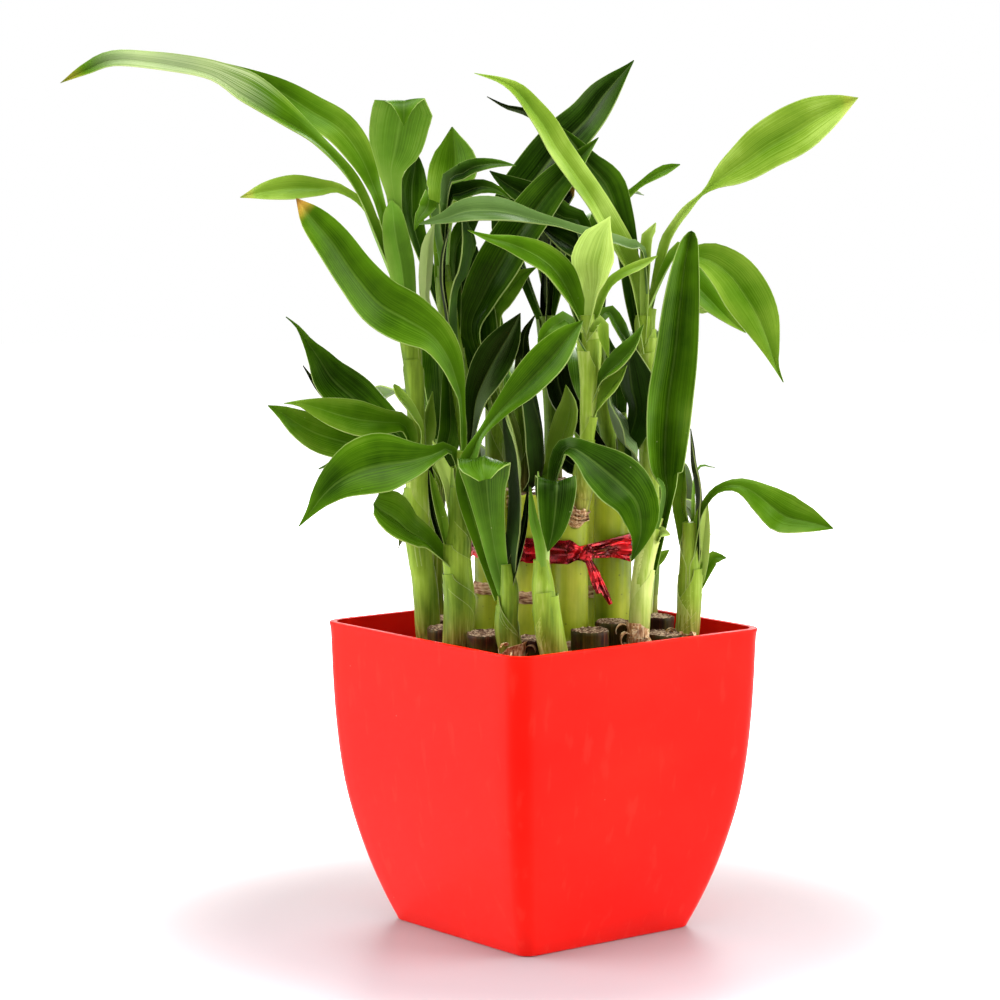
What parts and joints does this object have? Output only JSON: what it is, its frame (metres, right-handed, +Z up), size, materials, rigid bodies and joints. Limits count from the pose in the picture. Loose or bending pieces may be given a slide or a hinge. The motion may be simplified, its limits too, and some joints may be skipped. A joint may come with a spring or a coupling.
{
  "type": "lucky bamboo plant in a square pot",
  "caption": "Potted lucky bamboo: cut canes tied with a foil ribbon, leafy green shoots, in a square red plastic pot that tapers to its foot.",
  "frame": {"origin": "centre of the pot's flat underside, on the surface that it stands on", "axes": "+Z up; X and Y along the pot's sides, so that the corner between +X and -Y faces the viewer of the picture"},
  "size_m": [0.1862, 0.2358, 0.2926],
  "materials": {
    "red_plastic": "satin",
    "pebbles": "matte",
    "red_foil": "gloss",
    "inner_cane": "satin",
    "outer_cane": "satin",
    "leaf_green": "satin"
  },
  "bodies": {
    "root": {"pot": "red_plastic", "pebble_filling": "pebbles", "foil_ribbon": "red_foil", "cane_a": "inner_cane", "cane_b": "inner_cane", "cane_c": "inner_cane", "cane_d": "inner_cane", "cane_e": "inner_cane", "cane_f": "inner_cane", "cane_g": "inner_cane", "short_cane_1": "outer_cane", "short_cane_2": "outer_cane", "short_cane_3": "outer_cane", "short_cane_4": "outer_cane", "short_cane_5": "outer_cane", "short_cane_6": "outer_cane", "short_cane_7": "outer_cane", "short_cane_8": "outer_cane", "short_cane_9": "outer_cane", "short_cane_10": "outer_cane", "short_cane_11": "outer_cane", "short_cane_12": "outer_cane", "shoot_tall_left": "leaf_green", "shoot_front_left": "leaf_green", "shoot_front_middle": "leaf_green", "shoot_front_right": "leaf_green", "shoot_cane_c": "leaf_green", "shoot_tall_right": "leaf_green", "shoot_right_front": "leaf_green", "shoot_right": "leaf_green", "shoot_cane_d": "leaf_green", "shoot_cane_a": "leaf_green", "shoot_cane_b": "leaf_green", "shoot_cane_g": "leaf_green", "shoot_cane_f": "leaf_green", "shoot_cane_e": "leaf_green", "shoot_back_left": "leaf_green", "shoot_back_middle_left": "leaf_green", "shoot_back_middle_right": "leaf_green", "shoot_back_right": "leaf_green"}
  },
  "joints": []
}
